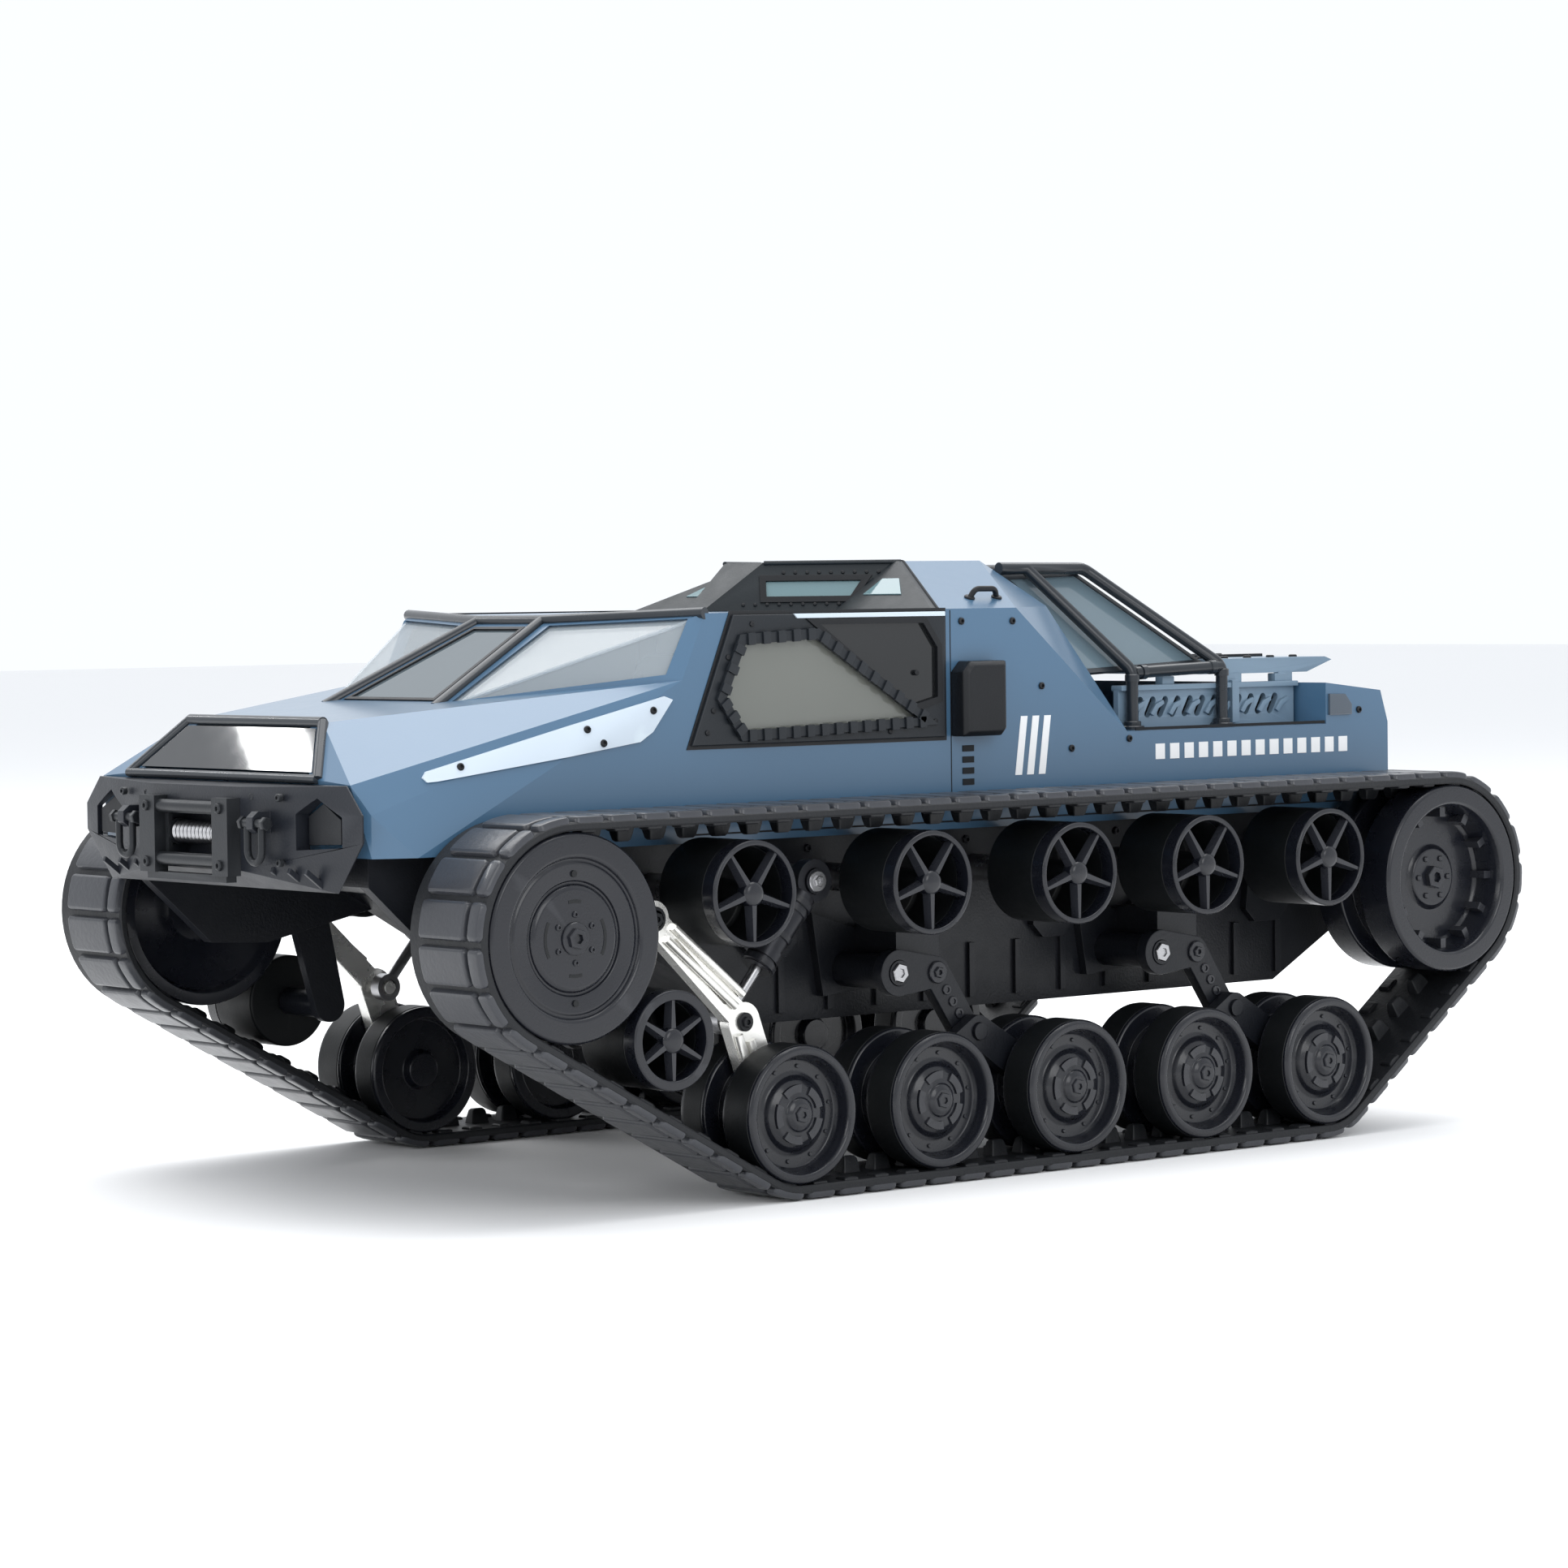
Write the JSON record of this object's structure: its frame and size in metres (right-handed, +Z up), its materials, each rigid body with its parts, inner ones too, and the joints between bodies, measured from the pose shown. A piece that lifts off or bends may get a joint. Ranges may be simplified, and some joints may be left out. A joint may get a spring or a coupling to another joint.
{
  "type": "tracked tank chassis",
  "caption": "Radio-controlled tracked vehicle: sprung road wheels, return rollers and belts under a faceted cab with roll cage, rear deck and front winch.",
  "frame": {"origin": "centre of the bounding box at ground level", "axes": "+Z up, +X towards the vehicle's left side, the front faces -Y"},
  "size_m": [0.207, 0.4206, 0.173],
  "materials": {
    "body_paint": "semi-gloss blue-grey paint",
    "door_plastic": "satin dark grey panel",
    "roof_black": "satin near-black",
    "intake_black": "satin black",
    "smoked_glass": "clear to smoked panes",
    "cage_tube": "dark grey coated tube",
    "deck_plastic": "blue-grey moulded deck",
    "interior_plastic": "light grey moulded cabin",
    "bumper_plastic": "dark grey moulded bumper",
    "winch_metal": "dark coated metal",
    "track_rubber": "matt black rubber",
    "wheel_plastic": "satin black moulded wheels",
    "chassis_plastic": "black moulded nylon",
    "arm_aluminium": "bright machined arm",
    "damper_metal": "dark anodised damper",
    "steel": "turned steel",
    "battery_wrap": "shrink-wrapped pack",
    "circuit_board": "circuit board"
  },
  "bodies": {
    "hull": {"hull_tub": "chassis_plastic", "suspension_brackets": "chassis_plastic", "axle_stubs": "steel", "gear_motors": "steel", "battery_pack": "battery_wrap", "control_board": "circuit_board", "body_shell": "body_paint", "door_panels": "door_plastic", "roof_module": "roof_black", "glazing": "smoked_glass", "roll_cage": "cage_tube", "rear_deck": "deck_plastic", "side_intakes": "intake_black", "cabin_interior": "interior_plastic", "front_bumper": "bumper_plastic", "winch": "winch_metal", "track_belt_left": "track_rubber", "track_belt_right": "track_rubber"},
    "drive_sprocket_left": {"drive_sprocket_left": "wheel_plastic"},
    "front_wheel_left": {"front_wheel_left": "wheel_plastic"},
    "tension_wheel_left": {"tension_wheel_left": "wheel_plastic"},
    "return_roller_left_1": {"return_roller_left_1": "wheel_plastic"},
    "return_roller_left_2": {"return_roller_left_2": "wheel_plastic"},
    "return_roller_left_3": {"return_roller_left_3": "wheel_plastic"},
    "return_roller_left_4": {"return_roller_left_4": "wheel_plastic"},
    "return_roller_left_5": {"return_roller_left_5": "wheel_plastic"},
    "front_arm_left": {"front_arm_left": "arm_aluminium"},
    "damper_body_left": {"damper_body_left": "damper_metal"},
    "damper_rod_left": {"damper_rod_left": "steel"},
    "road_wheel_left_1": {"road_wheel_left_1": "wheel_plastic"},
    "swing_arm_left_mid": {"swing_arm_left_mid": "chassis_plastic"},
    "bogie_beam_left_mid": {"bogie_beam_left_mid": "chassis_plastic"},
    "road_wheel_left_2": {"road_wheel_left_2": "wheel_plastic"},
    "road_wheel_left_3": {"road_wheel_left_3": "wheel_plastic"},
    "swing_arm_left_rear": {"swing_arm_left_rear": "chassis_plastic"},
    "bogie_beam_left_rear": {"bogie_beam_left_rear": "chassis_plastic"},
    "road_wheel_left_4": {"road_wheel_left_4": "wheel_plastic"},
    "road_wheel_left_5": {"road_wheel_left_5": "wheel_plastic"},
    "tow_shackle_left": {"tow_shackle_left": "winch_metal"},
    "drive_sprocket_right": {"drive_sprocket_right": "wheel_plastic"},
    "front_wheel_right": {"front_wheel_right": "wheel_plastic"},
    "tension_wheel_right": {"tension_wheel_right": "wheel_plastic"},
    "return_roller_right_1": {"return_roller_right_1": "wheel_plastic"},
    "return_roller_right_2": {"return_roller_right_2": "wheel_plastic"},
    "return_roller_right_3": {"return_roller_right_3": "wheel_plastic"},
    "return_roller_right_4": {"return_roller_right_4": "wheel_plastic"},
    "return_roller_right_5": {"return_roller_right_5": "wheel_plastic"},
    "front_arm_right": {"front_arm_right": "arm_aluminium"},
    "damper_body_right": {"damper_body_right": "damper_metal"},
    "damper_rod_right": {"damper_rod_right": "steel"},
    "road_wheel_right_1": {"road_wheel_right_1": "wheel_plastic"},
    "swing_arm_right_mid": {"swing_arm_right_mid": "chassis_plastic"},
    "bogie_beam_right_mid": {"bogie_beam_right_mid": "chassis_plastic"},
    "road_wheel_right_2": {"road_wheel_right_2": "wheel_plastic"},
    "road_wheel_right_3": {"road_wheel_right_3": "wheel_plastic"},
    "swing_arm_right_rear": {"swing_arm_right_rear": "chassis_plastic"},
    "bogie_beam_right_rear": {"bogie_beam_right_rear": "chassis_plastic"},
    "road_wheel_right_4": {"road_wheel_right_4": "wheel_plastic"},
    "road_wheel_right_5": {"road_wheel_right_5": "wheel_plastic"},
    "tow_shackle_right": {"tow_shackle_right": "winch_metal"}
  },
  "joints": [
    {"name": "drive_turn_left", "type": "hinge", "parent": "hull", "child": "drive_sprocket_left", "pos_m": [0.088, 0.1777, 0.0749], "axis": [1, 0, 0], "continuous": true},
    {"name": "front_wheel_left_turn", "type": "hinge", "parent": "hull", "child": "front_wheel_left", "pos_m": [0.088, -0.1562, 0.075], "axis": [1, 0, 0], "continuous": true},
    {"name": "tension_wheel_left_turn", "type": "hinge", "parent": "hull", "child": "tension_wheel_left", "pos_m": [0.088, -0.1241, 0.0462], "axis": [1, 0, 0], "continuous": true},
    {"name": "return_roller_left_1_turn", "type": "hinge", "parent": "hull", "child": "return_roller_left_1", "pos_m": [0.088, -0.096, 0.0837], "axis": [1, 0, 0], "continuous": true},
    {"name": "return_roller_left_2_turn", "type": "hinge", "parent": "hull", "child": "return_roller_left_2", "pos_m": [0.088, -0.0325, 0.0837], "axis": [1, 0, 0], "continuous": true},
    {"name": "return_roller_left_3_turn", "type": "hinge", "parent": "hull", "child": "return_roller_left_3", "pos_m": [0.088, 0.023, 0.0837], "axis": [1, 0, 0], "continuous": true},
    {"name": "return_roller_left_4_turn", "type": "hinge", "parent": "hull", "child": "return_roller_left_4", "pos_m": [0.088, 0.0741, 0.0837], "axis": [1, 0, 0], "continuous": true},
    {"name": "return_roller_left_5_turn", "type": "hinge", "parent": "hull", "child": "return_roller_left_5", "pos_m": [0.088, 0.1248, 0.0837], "axis": [1, 0, 0], "continuous": true},
    {"name": "front_arm_swing_left", "type": "hinge", "parent": "hull", "child": "front_arm_left", "pos_m": [0.0873, -0.1195, 0.0775], "axis": [1, 0, 0], "range_deg": [0, 5], "stiffness_Nm_per_rad": 0.6, "springref_deg": -6.88},
    {"name": "damper_tilt_left", "type": "hinge", "parent": "hull", "child": "damper_body_left", "pos_m": [0.0806, -0.058, 0.0845], "axis": [1, 0, 0], "range_deg": [0, 1]},
    {"name": "damper_stroke_left", "type": "slide", "parent": "damper_body_left", "child": "damper_rod_left", "axis": [0, 0.6473, 0.7622], "range_m": [0, 0.005]},
    {"name": "road_wheel_left_1_turn", "type": "hinge", "parent": "front_arm_left", "child": "road_wheel_left_1", "pos_m": [0.088, -0.08, 0.023], "axis": [1, 0, 0], "continuous": true},
    {"name": "swing_arm_left_mid_pivot", "type": "hinge", "parent": "hull", "child": "swing_arm_left_mid", "pos_m": [0.0826, -0.0291, 0.0574], "axis": [1, 0, 0], "range_deg": [0, 7], "stiffness_Nm_per_rad": 0.3, "springref_deg": -8.59},
    {"name": "bogie_beam_left_mid_rock", "type": "hinge", "parent": "swing_arm_left_mid", "child": "bogie_beam_left_mid", "pos_m": [0.0873, -0.0035, 0.0396], "axis": [1, 0, 0], "range_deg": [-7.5, 0]},
    {"name": "road_wheel_left_2_turn", "type": "hinge", "parent": "bogie_beam_left_mid", "child": "road_wheel_left_2", "pos_m": [0.088, -0.029, 0.023], "axis": [1, 0, 0], "continuous": true},
    {"name": "road_wheel_left_3_turn", "type": "hinge", "parent": "bogie_beam_left_mid", "child": "road_wheel_left_3", "pos_m": [0.088, 0.022, 0.023], "axis": [1, 0, 0], "continuous": true},
    {"name": "swing_arm_left_rear_pivot", "type": "hinge", "parent": "hull", "child": "swing_arm_left_rear", "pos_m": [0.0826, 0.0729, 0.0574], "axis": [1, 0, 0], "range_deg": [0, 7], "stiffness_Nm_per_rad": 0.3, "springref_deg": -8.59},
    {"name": "bogie_beam_left_rear_rock", "type": "hinge", "parent": "swing_arm_left_rear", "child": "bogie_beam_left_rear", "pos_m": [0.0873, 0.0985, 0.0396], "axis": [1, 0, 0], "range_deg": [-7.5, 0]},
    {"name": "road_wheel_left_4_turn", "type": "hinge", "parent": "bogie_beam_left_rear", "child": "road_wheel_left_4", "pos_m": [0.088, 0.073, 0.023], "axis": [1, 0, 0], "continuous": true},
    {"name": "road_wheel_left_5_turn", "type": "hinge", "parent": "bogie_beam_left_rear", "child": "road_wheel_left_5", "pos_m": [0.088, 0.124, 0.023], "axis": [1, 0, 0], "continuous": true},
    {"name": "tow_shackle_left_swing", "type": "hinge", "parent": "hull", "child": "tow_shackle_left", "pos_m": [0.032, -0.2082, 0.105], "axis": [1, 0, 0], "range_deg": [-80, 0]},
    {"name": "drive_turn_right", "type": "hinge", "parent": "hull", "child": "drive_sprocket_right", "pos_m": [-0.088, 0.1777, 0.0749], "axis": [1, 0, 0], "continuous": true},
    {"name": "front_wheel_right_turn", "type": "hinge", "parent": "hull", "child": "front_wheel_right", "pos_m": [-0.088, -0.1562, 0.075], "axis": [1, 0, 0], "continuous": true},
    {"name": "tension_wheel_right_turn", "type": "hinge", "parent": "hull", "child": "tension_wheel_right", "pos_m": [-0.088, -0.1241, 0.0462], "axis": [1, 0, 0], "continuous": true},
    {"name": "return_roller_right_1_turn", "type": "hinge", "parent": "hull", "child": "return_roller_right_1", "pos_m": [-0.088, -0.096, 0.0837], "axis": [1, 0, 0], "continuous": true},
    {"name": "return_roller_right_2_turn", "type": "hinge", "parent": "hull", "child": "return_roller_right_2", "pos_m": [-0.088, -0.0325, 0.0837], "axis": [1, 0, 0], "continuous": true},
    {"name": "return_roller_right_3_turn", "type": "hinge", "parent": "hull", "child": "return_roller_right_3", "pos_m": [-0.088, 0.023, 0.0837], "axis": [1, 0, 0], "continuous": true},
    {"name": "return_roller_right_4_turn", "type": "hinge", "parent": "hull", "child": "return_roller_right_4", "pos_m": [-0.088, 0.0741, 0.0837], "axis": [1, 0, 0], "continuous": true},
    {"name": "return_roller_right_5_turn", "type": "hinge", "parent": "hull", "child": "return_roller_right_5", "pos_m": [-0.088, 0.1248, 0.0837], "axis": [1, 0, 0], "continuous": true},
    {"name": "front_arm_swing_right", "type": "hinge", "parent": "hull", "child": "front_arm_right", "pos_m": [-0.0873, -0.1195, 0.0775], "axis": [1, 0, 0], "range_deg": [0, 5], "stiffness_Nm_per_rad": 0.6, "springref_deg": -6.88},
    {"name": "damper_tilt_right", "type": "hinge", "parent": "hull", "child": "damper_body_right", "pos_m": [-0.0806, -0.058, 0.0845], "axis": [1, 0, 0], "range_deg": [0, 1]},
    {"name": "damper_stroke_right", "type": "slide", "parent": "damper_body_right", "child": "damper_rod_right", "axis": [0, 0.6473, 0.7622], "range_m": [0, 0.005]},
    {"name": "road_wheel_right_1_turn", "type": "hinge", "parent": "front_arm_right", "child": "road_wheel_right_1", "pos_m": [-0.088, -0.08, 0.023], "axis": [1, 0, 0], "continuous": true},
    {"name": "swing_arm_right_mid_pivot", "type": "hinge", "parent": "hull", "child": "swing_arm_right_mid", "pos_m": [-0.0826, -0.0291, 0.0574], "axis": [1, 0, 0], "range_deg": [0, 7], "stiffness_Nm_per_rad": 0.3, "springref_deg": -8.59},
    {"name": "bogie_beam_right_mid_rock", "type": "hinge", "parent": "swing_arm_right_mid", "child": "bogie_beam_right_mid", "pos_m": [-0.0873, -0.0035, 0.0396], "axis": [1, 0, 0], "range_deg": [-7.5, 0]},
    {"name": "road_wheel_right_2_turn", "type": "hinge", "parent": "bogie_beam_right_mid", "child": "road_wheel_right_2", "pos_m": [-0.088, -0.029, 0.023], "axis": [1, 0, 0], "continuous": true},
    {"name": "road_wheel_right_3_turn", "type": "hinge", "parent": "bogie_beam_right_mid", "child": "road_wheel_right_3", "pos_m": [-0.088, 0.022, 0.023], "axis": [1, 0, 0], "continuous": true},
    {"name": "swing_arm_right_rear_pivot", "type": "hinge", "parent": "hull", "child": "swing_arm_right_rear", "pos_m": [-0.0826, 0.0729, 0.0574], "axis": [1, 0, 0], "range_deg": [0, 7], "stiffness_Nm_per_rad": 0.3, "springref_deg": -8.59},
    {"name": "bogie_beam_right_rear_rock", "type": "hinge", "parent": "swing_arm_right_rear", "child": "bogie_beam_right_rear", "pos_m": [-0.0873, 0.0985, 0.0396], "axis": [1, 0, 0], "range_deg": [-7.5, 0]},
    {"name": "road_wheel_right_4_turn", "type": "hinge", "parent": "bogie_beam_right_rear", "child": "road_wheel_right_4", "pos_m": [-0.088, 0.073, 0.023], "axis": [1, 0, 0], "continuous": true},
    {"name": "road_wheel_right_5_turn", "type": "hinge", "parent": "bogie_beam_right_rear", "child": "road_wheel_right_5", "pos_m": [-0.088, 0.124, 0.023], "axis": [1, 0, 0], "continuous": true},
    {"name": "tow_shackle_right_swing", "type": "hinge", "parent": "hull", "child": "tow_shackle_right", "pos_m": [-0.032, -0.2082, 0.105], "axis": [1, 0, 0], "range_deg": [-80, 0]}
  ],
  "couplings": [
    {"joint": "front_wheel_left_turn", "follows": "drive_turn_left", "ratio": 1.0253},
    {"joint": "tension_wheel_left_turn", "follows": "drive_turn_left", "ratio": 2.1037},
    {"joint": "return_roller_left_1_turn", "follows": "drive_turn_left", "ratio": 1.9586},
    {"joint": "return_roller_left_2_turn", "follows": "drive_turn_left", "ratio": 1.9586},
    {"joint": "return_roller_left_3_turn", "follows": "drive_turn_left", "ratio": 1.9586},
    {"joint": "return_roller_left_4_turn", "follows": "drive_turn_left", "ratio": 1.9586},
    {"joint": "return_roller_left_5_turn", "follows": "drive_turn_left", "ratio": 1.9586},
    {"joint": "damper_tilt_left", "follows": "front_arm_swing_left", "ratio": 0.02},
    {"joint": "damper_stroke_left", "follows": "front_arm_swing_left", "m_per_rad": 0.0424},
    {"joint": "road_wheel_left_1_turn", "follows": "drive_turn_left", "ratio": 1.5026},
    {"joint": "bogie_beam_left_mid_rock", "follows": "swing_arm_left_mid_pivot", "ratio": -1},
    {"joint": "road_wheel_left_2_turn", "follows": "drive_turn_left", "ratio": 1.5026},
    {"joint": "road_wheel_left_3_turn", "follows": "drive_turn_left", "ratio": 1.5026},
    {"joint": "bogie_beam_left_rear_rock", "follows": "swing_arm_left_rear_pivot", "ratio": -1},
    {"joint": "road_wheel_left_4_turn", "follows": "drive_turn_left", "ratio": 1.5026},
    {"joint": "road_wheel_left_5_turn", "follows": "drive_turn_left", "ratio": 1.5026},
    {"joint": "front_wheel_right_turn", "follows": "drive_turn_right", "ratio": 1.0253},
    {"joint": "tension_wheel_right_turn", "follows": "drive_turn_right", "ratio": 2.1037},
    {"joint": "return_roller_right_1_turn", "follows": "drive_turn_right", "ratio": 1.9586},
    {"joint": "return_roller_right_2_turn", "follows": "drive_turn_right", "ratio": 1.9586},
    {"joint": "return_roller_right_3_turn", "follows": "drive_turn_right", "ratio": 1.9586},
    {"joint": "return_roller_right_4_turn", "follows": "drive_turn_right", "ratio": 1.9586},
    {"joint": "return_roller_right_5_turn", "follows": "drive_turn_right", "ratio": 1.9586},
    {"joint": "damper_tilt_right", "follows": "front_arm_swing_right", "ratio": 0.02},
    {"joint": "damper_stroke_right", "follows": "front_arm_swing_right", "m_per_rad": 0.0424},
    {"joint": "road_wheel_right_1_turn", "follows": "drive_turn_right", "ratio": 1.5026},
    {"joint": "bogie_beam_right_mid_rock", "follows": "swing_arm_right_mid_pivot", "ratio": -1},
    {"joint": "road_wheel_right_2_turn", "follows": "drive_turn_right", "ratio": 1.5026},
    {"joint": "road_wheel_right_3_turn", "follows": "drive_turn_right", "ratio": 1.5026},
    {"joint": "bogie_beam_right_rear_rock", "follows": "swing_arm_right_rear_pivot", "ratio": -1},
    {"joint": "road_wheel_right_4_turn", "follows": "drive_turn_right", "ratio": 1.5026},
    {"joint": "road_wheel_right_5_turn", "follows": "drive_turn_right", "ratio": 1.5026}
  ]
}
